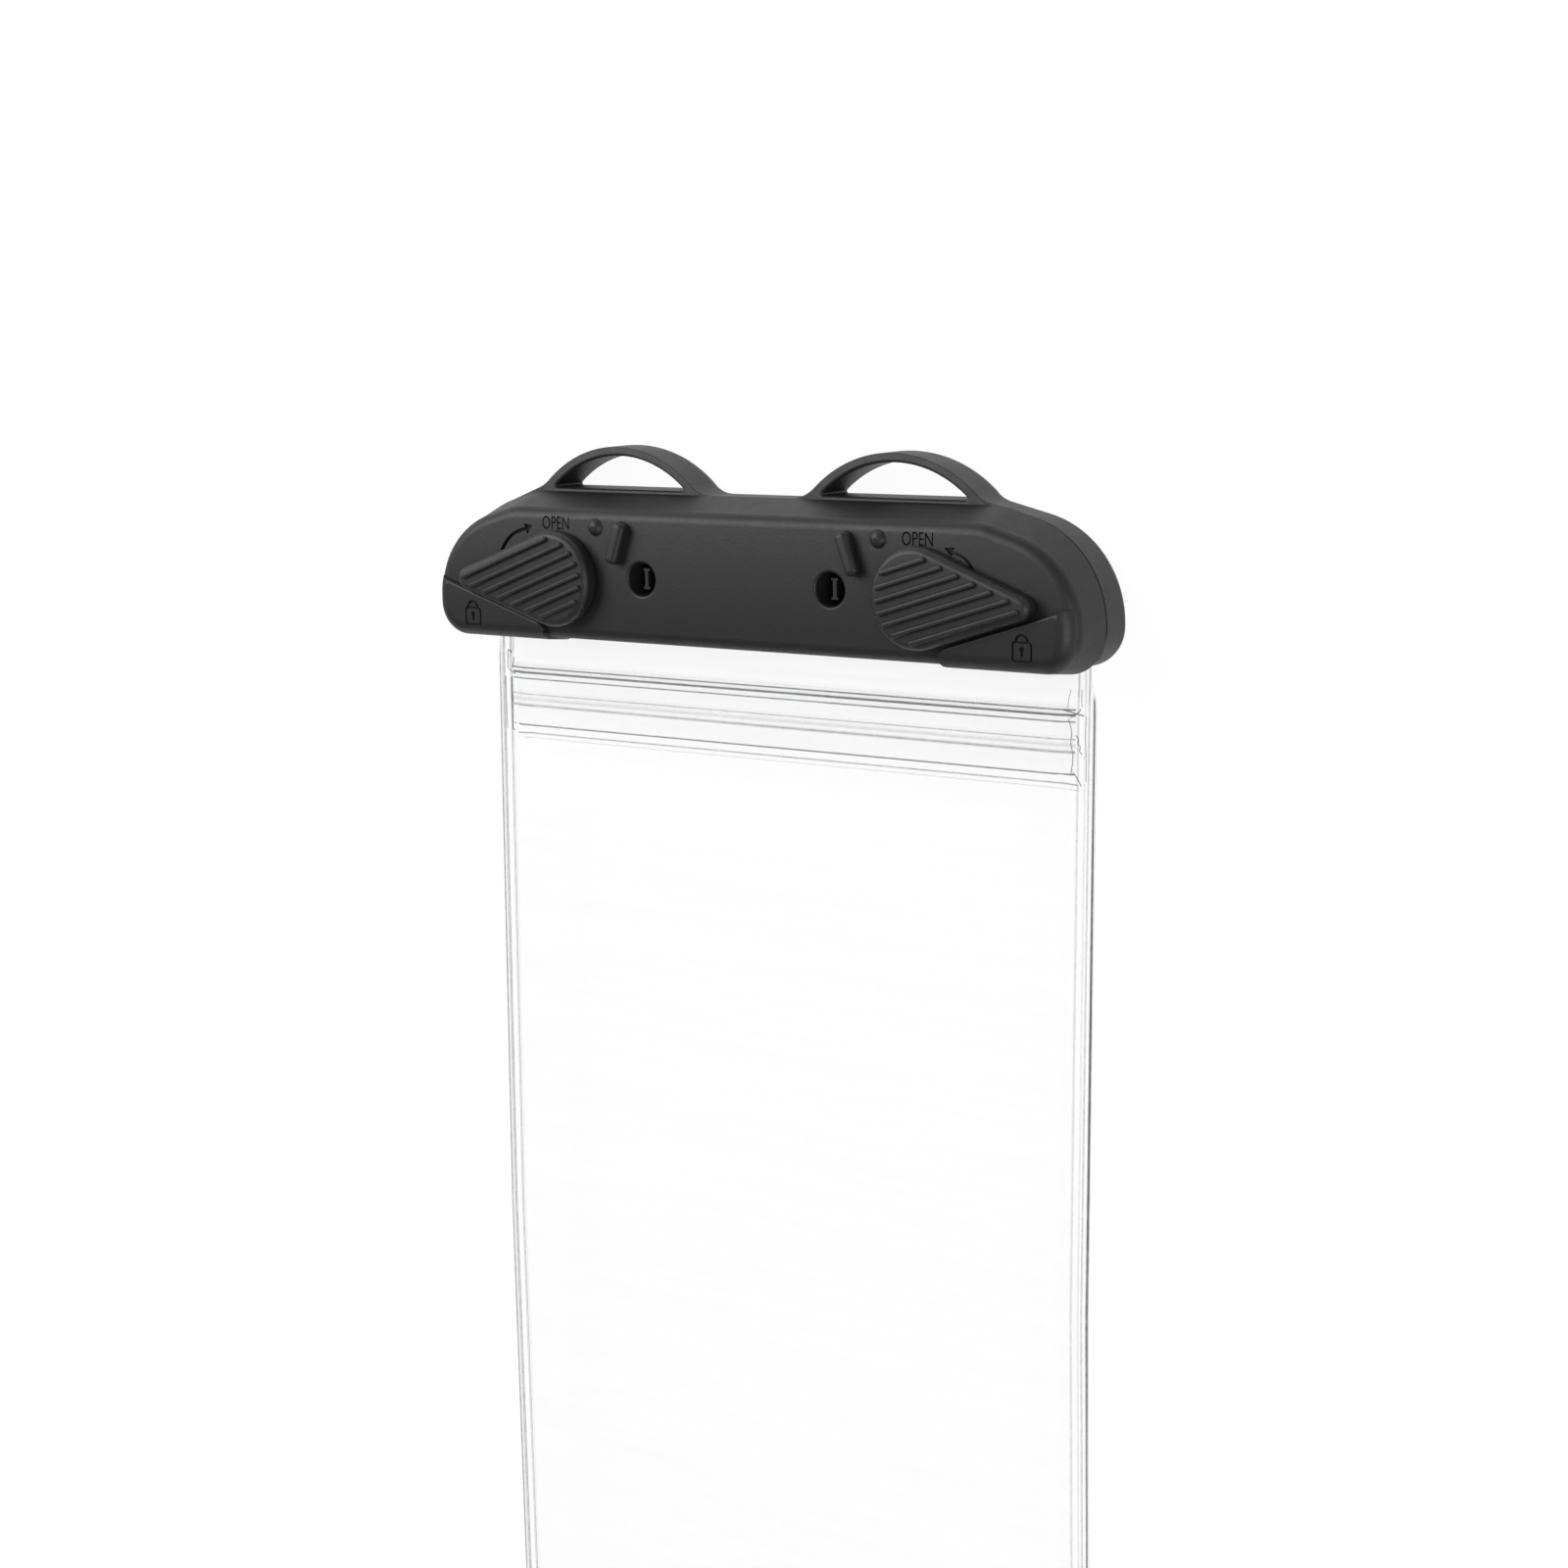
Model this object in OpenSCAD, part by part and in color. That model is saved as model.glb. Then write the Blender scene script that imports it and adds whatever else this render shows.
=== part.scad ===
// Waterproof phone pouch with a rigid two-part clamp and two turning locks.
// It lies on its back: X across the clamp, Y from the closed end to the loops,
// Z out of the front face. The origin is below the middle of the whole object.

/* [Clamp] */
// Width across both halves
clamp_w = 123; // [116:1:132]
// Top edge above the line of the guide posts
top_rise = 12.9; // [12:0.1:14.5]
// Bottom edge below the line of the guide posts
bottom_drop = 10.8; // [10.8:0.1:13]
// Depth of the front half
front_d = 7.4; // [6.8:0.1:9]
// Depth of the rear half
rear_d = 7.2; // [7:0.1:9]
// Radius of the wide upper corners
upper_r = 16.1; // [14:0.1:16.6]
// Radius of the lower corners
lower_r = 6.2; // [5:0.1:7]
// Soft edge around the front face
face_r = 2.0; // [1.2:0.1:2.6]
// Soft edge around the back
back_r = 2.2; // [1.2:0.1:2.6]
// How far the top band leans in towards the face
top_lean = 1.9; // [1:0.1:2.4]

/* [Cord loops] */
// Centre of each loop from the middle of the pair
loop_x = 26.4; // [25.6:0.1:27.2]
// Sideways seat of the pair of loops
loop_shift = -1.5; // [-1.5:0.1:0]
// Top of the loops above the line of the posts
loop_top = 20.3; // [20:0.1:21.2]
// Outer radius of the arch
loop_out_r = 21.5; // [21:0.1:22]
// Inner radius of the arch
loop_in_r = 19.5; // [19:0.1:20]
// Thickness of the arch at its crown
loop_crown = 1.5; // [1.4:0.1:1.8]

/* [Turning locks] */
// Lock axis from the middle
lock_x = 34.6; // [34:0.1:36]
// Radius of the hub end
hub_r = 7.7; // [7.2:0.1:7.9]
// Radius of the tip
tip_r = 1.9; // [1.5:0.1:2.2]
// Hub axis to the centre of the tip
lock_len = 17.7; // [16.5:0.1:18.4]
// Height of the lever plate
lever_t = 2.9; // [2.6:0.1:3.6]
// Turn from locked to open
lock_turn = 130; // [124:1:132]
// Droop of the tip when locked
lock_droop = 1.9; // [1:0.1:3]
// Number of grip ribs
rib_count = 7; // [5:1:7]

/* [Guide posts] */
// Post axis from the middle
post_x = 18; // [17:0.1:18.6]
// Radius of the round hole over the post
guide_r = 2.6; // [2.5:0.1:3]

/* [Pouch] */
// Width of the films
film_w = 112.8; // [106:0.2:112.8]
// Closed end below the line of the posts
film_end = 208; // [190:1:225]
// Film thickness
film_t = 0.3; // [0.25:0.05:0.4]
// Sideways seat of the films in the clamp
film_shift = 2.5; // [0:0.1:2.5]
// Width of the side weld
weld_w = 3.2; // [2.8:0.1:4]
// Rise of the front film over the phone space
front_puff = 3.4; // [2.8:0.1:4.5]

/* [Hidden] */
$fn = 48;
full_d = front_d + rear_d;
half_w = clamp_w / 2;
y0 = (film_end - loop_top) / 2;
lock_y = -0.4;
eps = 0.01;

// outline of the halves
corner_cx = half_w - upper_r;
corner_cy = -4.2;
front_slope = 17;
slope_x = corner_cx + upper_r * sin(front_slope);
slope_y = corner_cy + upper_r * cos(front_slope);
ease_r = 12;
knee_x = slope_x - (top_rise - slope_y) / tan(front_slope);
ease_cx = knee_x - ease_r * tan(front_slope / 2);
side_lean = 0.6;
bottom_lean = 0.4;

// loops
flare_r = 7;
arch_cy = loop_top - loop_out_r;
flare_cy = top_rise + flare_r;
flare_dx = sqrt(pow(loop_out_r + flare_r, 2) - pow(flare_cy - arch_cy, 2));
arch_a = atan2(flare_cy - arch_cy, flare_dx);
fk_y = flare_cy - corner_cy;
hole_cy = loop_top - loop_crown - loop_in_r;
hole_floor = top_rise + 0.55;
loop_edge = 0.5;
loop_foot_r = 0.3;
loop_rim = 0.36;

// pads
pad_up = 1.2;
pad_out = 0.5;
pad_gap = 0.35;
pad_in_x = 37.8;
lever_half_a = asin((hub_r - tip_r) / lock_len);

// film pocket and seals
pocket = 0.45;
pocket_w = clamp_w - 3;
pocket_top = 9.4;
room_r = 12;
film_top = 9;
film_top_r = 11;
seal_y = -7.1;
seal_w = 2.8;
seal_h = 1.6;
seal_len = 112;

// lock shaft and cam
journal_r = 3.5;
bore_r = 3.56;
neck_r = 2.5;
lever_gap = 0.2;
ledge_z = 4.2;
cam_gap = 0.15;
cam_t = 2.4;
cam_len = 11.6;
cam_w = 4.4;
recess_r = cam_len / 2 + 0.7;
slot_clear = 0.25;
tenon = 3.2;
tenon_h = 1.1;
head_r = 2.15;
head_h = 1.0;
thread_r = 1.0;
pilot_r = 0.95;
open_a = lock_turn - lock_droop;

// detent bump and stop bar
bump_rad = 11.4;
bump_off = 4.3;
bump_r = 1.45;
bump_h = 0.85;
stop_gap = 1.05;
stop_from = 6.4;
stop_to = 12.3;
stop_w = 2.3;
stop_h = 1.9;

// guide posts
post_h = 3.3;
post_w = 1.9;
post_flange = 0.6;
post_web = 0.7;
post_sink = 1.5;
base_r = 2.3;

// pouch
seam_z = rear_d;
seam_in = film_w / 2 - weld_w;
film_in_r = 5;
zip_lift = 1.25;
zip_top = -16.3;
front_zip_end = -26.9;
rear_zip_end = -28.5;
strip_t = 0.4;
track_y = [-17.7, -22.3];
pillow_top = -30;
pillow_end = -film_end + 6.5;
belly = rear_d - film_t;

// Points of an arc with their outward normals.
function arc_n(c, r, a0, a1, n, s = 1) =
  [for (i = [0 : n]) let (a = a0 + (a1 - a0) * i / n)
    [c[0] + r * cos(a), c[1] + r * sin(a), s * cos(a), s * sin(a)]];

// The same points without the first one, which the outline already has.
function next_of(p) = [for (i = [1 : len(p) - 1]) p[i]];

// The same points, each with its own share of the rim's inset, from w0 to w1.
function weighted(p, w0, w1) =
  [for (i = [0 : len(p) - 1]) concat(p[i], [w0 + (w1 - w0) * i / (len(p) - 1)])];

// The other half of an outline, mirrored across the middle plane.
function mirrored(p) =
  [for (i = [len(p) - 1 : -1 : 0])
    concat([-p[i][0], p[i][1], -p[i][2], p[i][3]], len(p[i]) > 4 ? [p[i][4]] : [])];

function front_half_outline() = concat(
  arc_n([half_w - lower_r, lower_r - bottom_drop], lower_r, -90, 0, 7),
  arc_n([corner_cx, corner_cy], upper_r, 0, 90 - front_slope, 11),
  arc_n([ease_cx, top_rise - ease_r], ease_r, 90 - front_slope, 90, 3));

function rear_half_outline(cx) =
  let (fk_x = cx + flare_dx - corner_cx,
    slope = atan2(fk_x, fk_y) + acos((upper_r + flare_r) / norm([fk_x, fk_y])))
  concat(
    arc_n([half_w - lower_r, lower_r - bottom_drop], lower_r, -90, 0, 7),
    arc_n([corner_cx, corner_cy], upper_r, 0, 90 - slope, 10),
    next_of(weighted(arc_n([cx + flare_dx, flare_cy], flare_r, 270 - slope, 180 + arch_a, 3, -1), 1, loop_rim)),
    next_of(weighted(arc_n([cx, arch_cy], loop_out_r, arch_a, 180 - arch_a, 14), loop_rim, loop_rim)),
    next_of(weighted(arc_n([cx - flare_dx, flare_cy], flare_r, -arch_a, -90, 5, -1), loop_rim, 1)));

// Lean of the side band: most at the top, least at the bottom.
function lean(ny) = ny > 0 ? side_lean + (top_lean - side_lean) * ny * ny
  : side_lean + (bottom_lean - side_lean) * ny * ny;

// A solid through rings of one outline; each level is [z, inset, share of the lean].
// A fifth number of an outline point is its own share of the inset.
module loft(outline, levels) {
  n = len(outline);
  m = len(levels);
  pts = [for (l = levels) for (p = outline)
    let (d = l[1] * (len(p) > 4 ? p[4] : 1) + l[2] * lean(p[3]))
    [p[0] - p[2] * d, p[1] - p[3] * d, l[0]]];
  sides = [for (k = [0 : m - 2]) for (i = [0 : n - 1]) let (j = (i + 1) % n)
    each [[k * n + i, (k + 1) * n + i, (k + 1) * n + j], [k * n + i, (k + 1) * n + j, k * n + j]]];
  floor_face = [for (i = [0 : n - 1]) i];
  top_face = [for (i = [n - 1 : -1 : 0]) (m - 1) * n + i];
  polyhedron(points = pts, faces = concat([floor_face], sides, [top_face]), convexity = 6);
}

// Levels of a quarter-round edge that ends at height z.
function round_up(z, r, n, share) =
  [for (i = [0 : n]) let (a = 90 * i / n) [z - r + r * sin(a), r - r * cos(a), share]];
function round_down(z, r, n, share) =
  [for (i = [n : -1 : 0]) let (a = 90 * i / n) [z + r - r * sin(a), r - r * cos(a), share]];

// Right pad beside the lever; its upper edge follows the locked lever.
function pad_line(x) =
  let (a = lever_half_a - lock_droop, d = hub_r + pad_gap)
  lock_y - d / cos(a) + (x - lock_x) * tan(a);

function pad_outline() =
  let (r = 1.6, a = lever_half_a - lock_droop, xo = half_w - side_lean, yb = -bottom_drop - pad_out)
  concat(
    weighted(arc_n([pad_in_x + r, yb + r], r, 180, 270, 4), 0.5, 0.7),
    weighted(arc_n([xo - lower_r, yb + lower_r], lower_r, -90, 0, 7), 0.7, 0.9),
    weighted(arc_n([xo - r, pad_line(xo - r) - r], r, 0, 90 + a, 6), 0.9, 0.2),
    weighted(arc_n([pad_in_x + r, pad_line(pad_in_x + r) - r / cos(a)], r, 90 + a, 180, 4), 0.2, 0.5));

module pad() {
  h = face_r + pad_up;
  loft(pad_outline(), concat([[rear_d + 0.6, 0, 0]], round_up(full_d + pad_up, h, 5, 0)));
}

// Stop bar whose inner side lies along the open lever.
module stop_bar() {
  a = open_a + 90 - lever_half_a;
  r = 0.9;
  translate([lock_x, lock_y, 0])
    rotate([0, 0, a - 90])
      loft(concat(
        arc_n([stop_to - r, hub_r + stop_gap + stop_w - r], r, 0, 90, 3),
        arc_n([stop_from + r, hub_r + stop_gap + stop_w - r], r, 90, 180, 3),
        arc_n([stop_from + r, hub_r + stop_gap + r], r, 180, 270, 3),
        arc_n([stop_to - r, hub_r + stop_gap + r], r, 270, 360, 3)),
        concat([[full_d - 1, 0, 0]], round_up(full_d + stop_h, 0.5, 3, 0)));
}

// Low dome that clicks under the open lever.
module bump() {
  a = open_a + bump_off;
  big = (bump_r * bump_r + bump_h * bump_h) / (2 * bump_h);
  translate([lock_x + bump_rad * cos(a), lock_y + bump_rad * sin(a), full_d])
    intersection() {
      translate([0, 0, bump_h - big]) sphere(big, $fn = 32);
      translate([0, 0, -0.4]) cylinder(h = 3, r = bump_r, $fn = 32);
    }
}

module both_sides() {
  children();
  mirror([1, 0, 0]) children();
}

// Room for the films between the halves, round at its upper corners like the clamp.
module film_room(h) {
  w = pocket_w / 2;
  linear_extrude(h) union() {
    translate([-w, -bottom_drop - 5]) square([2 * w, bottom_drop + 5 + pocket_top - room_r]);
    translate([room_r - w, -bottom_drop]) square([2 * (w - room_r), bottom_drop + pocket_top]);
    for (s = [-1, 1]) translate([s * (w - room_r), pocket_top - room_r]) circle(room_r);
  }
}

// Front half: soft face, lock pads, stop bars, detent bumps, bores, film pocket.
module front_shell() {
  color("#2f3032")
  resize([clamp_w, 0, 0])
  translate([0, y0, 0])
  difference() {
    union() {
      h = front_half_outline();
      loft(concat(h, mirrored(h)),
        concat([[rear_d, 0, 0]], round_up(full_d, face_r, 5, 1)));
      both_sides() {
        pad();
        stop_bar();
        bump();
      }
    }
    both_sides() {
      translate([lock_x, lock_y, rear_d - 1]) cylinder(h = front_d + 2, r = bore_r);
      translate([post_x, 0, rear_d - 1]) cylinder(h = front_d + 2, r = guide_r);
      translate([post_x, 0, full_d - 0.35]) cylinder(h = 0.7, r1 = guide_r, r2 = guide_r + 0.7);
    }
    translate([0, 0, rear_d - 1]) film_room(1 + pocket);
    translate([-seal_len / 2, seal_y - seal_w / 2, rear_d - 1])
      cube([seal_len, seal_w, 1 + film_t + seal_h]);
  }
}

// D-shaped opening under the arch centred at cx, with softened edges on both faces.
module loop_hole(cx) {
  r = loop_foot_r;
  a = asin((hole_floor + r - hole_cy) / (loop_in_r - r));
  d = (loop_in_r - r) * cos(a);
  ring = concat(
    next_of(arc_n([cx, hole_cy], loop_in_r, a, 180 - a, 14)),
    next_of(arc_n([cx - d, hole_floor + r], r, 180 - a, 270, 4)),
    arc_n([cx + d, hole_floor + r], r, 270, 360 + a, 4));
  e = loop_edge;
  loft(ring, [[-1, -e, 0], [0, -e, 0], [e * 0.3, -e * 0.3, 0], [e, 0, 0],
    [rear_d - e, 0, 0], [rear_d - e * 0.3, -e * 0.3, 0], [rear_d, -e, 0], [rear_d + 1, -e, 0]]);
}

// Way for the cam bar when the lever is open.
module cam_slot() {
  translate([lock_x, lock_y, ledge_z - 1])
    rotate([0, 0, open_a + 90])
      intersection() {
        cylinder(h = rear_d, r = cam_len / 2 + slot_clear);
        translate([-cam_len, -cam_w / 2 - slot_clear, 0]) cube([2 * cam_len, cam_w + 2 * slot_clear, rear_d]);
      }
  translate([lock_x, lock_y, ledge_z - 1]) cylinder(h = rear_d, r = neck_r + slot_clear);
}

// Guide post: round base, then an I-section with a clear tip.
module guide_post() {
  z1 = rear_d - pocket - eps;
  z2 = rear_d + pocket + 0.3;
  z3 = full_d - post_sink;
  translate([post_x, 0, z1]) cylinder(h = z2 - z1, r = base_r);
  translate([post_x - post_web / 2, -post_h / 2, z1]) cube([post_web, post_h, z3 - z1]);
  for (s = [-1, 1])
    translate([post_x - post_w / 2, s * (post_h - post_flange) / 2 - post_flange / 2, z1])
      cube([post_w, post_flange, z3 - z1]);
}

// Rear half: soft back, both cord loops, guide posts, lock recesses and slots.
module rear_shell() {
  color("#2b2c2e")
  resize([clamp_w, 0, 0])
  translate([0, y0, 0])
  difference() {
    union() {
      difference() {
        loft(concat(rear_half_outline(loop_x + loop_shift), mirrored(rear_half_outline(loop_x - loop_shift))),
          concat(round_down(0, back_r, 5, 0), [[rear_d - 0.2, 0, 0], [rear_d, 0.15, 0]]));
        translate([0, 0, rear_d - pocket]) film_room(1 + pocket);
        translate([-seal_len / 2, seal_y - seal_w / 2, rear_d - film_t - seal_h])
          cube([seal_len, seal_w, 3]);
      }
      both_sides() guide_post();
    }
    loop_hole(loop_x + loop_shift);
    loop_hole(loop_shift - loop_x);
    both_sides() {
      translate([lock_x, lock_y, -1]) cylinder(h = 1 + ledge_z, r = recess_r);
      cam_slot();
    }
  }
}

// Teardrop plate outline, tip along +X.
function lever_outline() =
  let (b = 90 - lever_half_a)
  concat(
    arc_n([lock_len, 0], tip_r, -b, b, 8),
    arc_n([0, 0], hub_r, b, 360 - b, 26));

// One grip rib: parallel to the lower edge, ends held back from the rim.
module grip_rib(q, z) {
  a = lever_half_a;
  t0 = -sqrt(pow(hub_r - 1.05, 2) - q * q);
  t1 = (hub_r - 2 - q * cos(90 - 2 * a + 0.0001)) / sin(2 * a);
  t2 = min(t1, sqrt(pow(lock_len, 2) - q * q) + 0.3);
  w = 0.42;
  rotate([0, 0, a])
    loft(concat(
      arc_n([t2 - w, q], w, -90, 90, 5),
      arc_n([t0 + w, q], w, 90, 270, 5)),
      [[z, 0, 0], [z + 0.62, 0, 0], [z + 0.8, 0.12, 0], [z + 0.88, 0.26, 0]]);
}

// Lever: ribbed plate, journal, neck with a square tenon and a pilot bore.
module lever() {
  zb = full_d + lever_gap;
  zt = zb + lever_t;
  cam_top = ledge_z - cam_gap;
  span = 2 * hub_r - 1.5 - 2.6;
  resize([hub_r + lock_len + tip_r, 0, 0])
  difference() {
    union() {
      loft(lever_outline(), concat([[zb, 0.3, 0], [zb + 0.3, 0, 0]], round_up(zt, 1.1, 4, 0)));
      for (k = [0 : rib_count - 1])
        grip_rib(-hub_r + 1.5 + span * k / (rib_count - 1), zt - 0.5);
      translate([0, 0, rear_d + pocket + 0.05])
        cylinder(h = zb - rear_d - pocket + 0.4, r = journal_r);
      translate([0, 0, cam_top]) cylinder(h = rear_d, r = neck_r);
      translate([-tenon / 2, -tenon / 2, cam_top - tenon_h]) cube([tenon, tenon, tenon_h + 1]);
    }
    difference() {
      translate([0, 0, zb - 1]) cylinder(h = 1 + bump_h + 0.1, r = bump_rad + bump_r + 0.35);
      translate([0, 0, zb - 2]) cylinder(h = 5, r = bump_rad - bump_r - 0.35);
    }
    translate([0, 0, 0]) cylinder(h = rear_d, r = pilot_r, $fn = 24);
  }
}

module right_lever() {
  color("#303133") translate([lock_x, lock_y + y0, 0]) rotate([0, 0, -lock_droop]) lever();
}

module left_lever() {
  color("#303133") translate([-lock_x, lock_y + y0, 0]) rotate([0, 0, 180 + lock_droop]) lever();
}

// Cam bar: square pocket for the tenon over a floor that the screw passes through.
module cam() {
  cam_top = ledge_z - cam_gap;
  z0 = cam_top - cam_t;
  difference() {
    intersection() {
      translate([0, 0, z0]) cylinder(h = cam_t, r = cam_len / 2);
      translate([-cam_w / 2, -cam_len, z0 - 1]) cube([cam_w, 2 * cam_len, cam_t + 2]);
    }
    translate([-tenon / 2 - 0.02, -tenon / 2 - 0.02, z0 + 1]) cube([tenon + 0.04, tenon + 0.04, cam_t]);
    translate([0, 0, z0 - 1]) cylinder(h = cam_t, r = thread_r + 0.1, $fn = 32);
  }
}

module right_lock_cam() {
  color("#1f2022") translate([lock_x, lock_y + y0, 0]) rotate([0, 0, -lock_droop]) cam();
}

module left_lock_cam() {
  color("#1f2022") translate([-lock_x, lock_y + y0, 0]) rotate([0, 0, 180 + lock_droop]) cam();
}

// Pan-head screw that holds the cam on the tenon.
module cam_screw() {
  z0 = ledge_z - cam_gap - cam_t;
  difference() {
    union() {
      translate([0, 0, z0 - head_h]) cylinder(h = head_h, r = head_r);
      translate([0, 0, z0 - eps]) cylinder(h = 4.6, r = thread_r);
    }
    for (a = [0, 90])
      rotate([0, 0, a]) translate([-1.3, -0.25, z0 - head_h - 1]) cube([2.6, 0.5, 1.5]);
  }
}

module right_cam_screw() {
  color("#9a9c9f") translate([lock_x, lock_y + y0, 0]) cam_screw();
}

module left_cam_screw() {
  color("#9a9c9f") translate([-lock_x, lock_y + y0, 0]) cam_screw();
}

// Rubber strips that press the films together under the locks.
module front_seal() {
  color("#3a3a3c") translate([-seal_len / 2, y0 + seal_y - seal_w / 2, rear_d + film_t])
    cube([seal_len, seal_w, seal_h]);
}

module rear_seal() {
  color("#3a3a3c") translate([-seal_len / 2, y0 + seal_y - seal_w / 2, rear_d - film_t - seal_h])
    cube([seal_len, seal_w, seal_h]);
}

// Smooth step between two heights.
function ease(t) = let (c = max(0, min(1, t))) c * c * (3 - 2 * c);

// Lift of a film across its width, for a full lift of h.
function lift_x(x, h) =
  let (d = seam_in - abs(x))
  d <= 0 ? 0 : d < 0.8 ? zip_lift * d / 0.8 : zip_lift + (h - zip_lift) * ease((d - 0.8) / 9.5);

// Lift of a film along its length.
function lift_y(y, h) =
  y > -13.2 ? 0
  : y > -15.4 ? zip_lift * (-13.2 - y) / 2.2
  : y > pillow_top ? zip_lift
  : y > pillow_top - 9 ? zip_lift + (h - zip_lift) * ease((pillow_top - y) / 9)
  : y > pillow_end + 8 ? h
  : y > pillow_end ? h * ease((y - pillow_end) / 8)
  : 0;

function film_lift(x, y, h) = min(lift_x(x, h), lift_y(y, h));

film_xs = let (e = seam_in)
  [-film_w / 2, -e, 0.8 - e, 3.2 - e, 5.6 - e, 8 - e, 10.3 - e,
   e - 10.3, e - 8, e - 5.6, e - 3.2, e - 0.8, e, film_w / 2];
film_ys = [-film_end, pillow_end, pillow_end + 2, pillow_end + 4, pillow_end + 6, pillow_end + 8,
  pillow_top - 9, pillow_top - 6.8, pillow_top - 4.5, pillow_top - 2.2, pillow_top, -15.4, -13.2, film_top];

// A film sheet as a height field; s is 1 for the front film and -1 for the rear one.
module film_sheet(s, h) {
  xs = film_xs;
  ys = film_ys;
  nx = len(xs);
  ny = len(ys);
  zin = [for (y = ys) for (x = xs) seam_z + s * film_lift(x, y, h)];
  lo = [for (j = [0 : ny - 1]) for (i = [0 : nx - 1])
    [xs[i], ys[j], zin[j * nx + i] - (s < 0 ? film_t : 0)]];
  hi = [for (p = lo) [p[0], p[1], p[2] + film_t]];
  m = nx * ny;
  up = [for (j = [0 : ny - 2]) for (i = [0 : nx - 2]) let (a = j * nx + i, b = a + 1, c = a + nx, d = c + 1)
    each [[m + a, m + d, m + b], [m + a, m + c, m + d]]];
  down = [for (j = [0 : ny - 2]) for (i = [0 : nx - 2]) let (a = j * nx + i, b = a + 1, c = a + nx, d = c + 1)
    each [[a, b, d], [a, d, c]]];
  south = [for (i = [0 : nx - 2]) each [[i, m + i, m + i + 1], [i, m + i + 1, i + 1]]];
  north = [for (i = [0 : nx - 2]) let (a = (ny - 1) * nx + i) each [[a, a + 1, m + a + 1], [a, m + a + 1, m + a]]];
  west = [for (j = [0 : ny - 2]) let (a = j * nx, c = a + nx) each [[a, c, m + c], [a, m + c, m + a]]];
  east = [for (j = [0 : ny - 2]) let (a = j * nx + nx - 1, c = a + nx) each [[a, m + a, m + c], [a, m + c, c]]];
  polyhedron(points = concat(lo, hi), faces = concat(up, down, south, north, west, east), convexity = 8);
}

// Flat outline of a film: small round corners at the closed end, wide ones inside the clamp.
module film_trim() {
  w = film_w / 2;
  r = film_in_r;
  t = film_top_r;
  translate([0, 0, -5]) linear_extrude(40) union() {
    translate([-w, r - film_end]) square([film_w, film_end - r + film_top - t]);
    translate([r - w, -film_end]) square([film_w - 2 * r, r + 1]);
    translate([t - w, -t]) square([film_w - 2 * t, film_top + t]);
    for (s = [-1, 1]) {
      translate([s * (w - r), r - film_end]) circle(r, $fn = 32);
      translate([s * (w - t), film_top - t]) circle(t);
    }
  }
}

module front_film() {
  color("#e9f0f2", 0.35)
  resize([film_w, 0, 0])
  translate([0, y0, 0])
  difference() {
    translate([film_shift, 0, 0]) intersection() {
      film_sheet(1, front_puff);
      film_trim();
    }
    both_sides() {
      translate([lock_x, lock_y, 0]) cylinder(h = 30, r = journal_r + 0.3, $fn = 32);
      translate([post_x, 0, 0]) cylinder(h = 30, r = base_r + 0.25, $fn = 32);
    }
  }
}

module rear_film() {
  color("#e9f0f2", 0.35)
  resize([film_w, 0, 0])
  translate([0, y0, 0])
  difference() {
    translate([film_shift, 0, 0]) intersection() {
      film_sheet(-1, belly);
      film_trim();
    }
    both_sides() {
      translate([lock_x, lock_y, -5]) cylinder(h = 30, r = cam_len / 2 + 0.4, $fn = 32);
      translate([post_x, 0, -5]) cylinder(h = 30, r = base_r + 0.25, $fn = 32);
    }
  }
}

// Zip strips: a flat band on each film; a single bead meets a pair of lips on each track.
module front_zip() {
  w = 2 * seam_in - 1.8;
  zi = seam_z + zip_lift;
  color("#dfe7ea", 0.45)
  translate([film_shift - w / 2, y0, 0])
  rotate([90, 0, 90])
  linear_extrude(w) union() {
    translate([front_zip_end, zi - strip_t]) square([zip_top - front_zip_end, strip_t]);
    for (t = track_y) {
      translate([t - 0.2, seam_z - 0.3]) square([0.4, zip_lift + 0.1]);
      translate([t - 0.35, seam_z - 0.35]) square([0.7, 0.5]);
    }
  }
}

module rear_zip() {
  w = 2 * seam_in - 1.8;
  zi = seam_z - zip_lift;
  color("#dfe7ea", 0.45)
  translate([film_shift - w / 2, y0, 0])
  rotate([90, 0, 90])
  linear_extrude(w) union() {
    translate([rear_zip_end, zi]) square([zip_top - rear_zip_end, strip_t]);
    for (t = track_y) for (s = [-1, 1]) {
      translate([t + s * 0.75 - 0.2, zi + strip_t - 0.1]) square([0.4, zip_lift + zip_lift - 2 * strip_t + 0.1]);
    }
  }
}

front_shell();
rear_shell();
right_lever();
left_lever();
right_lock_cam();
left_lock_cam();
right_cam_screw();
left_cam_screw();
front_seal();
rear_seal();
front_film();
rear_film();
front_zip();
rear_zip();
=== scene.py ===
from math import acos, asin, atan2, ceil, cos, degrees, exp, hypot, pi, radians, sin, sqrt, tan

import bmesh
import bpy
from mathutils import Matrix, Vector


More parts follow.
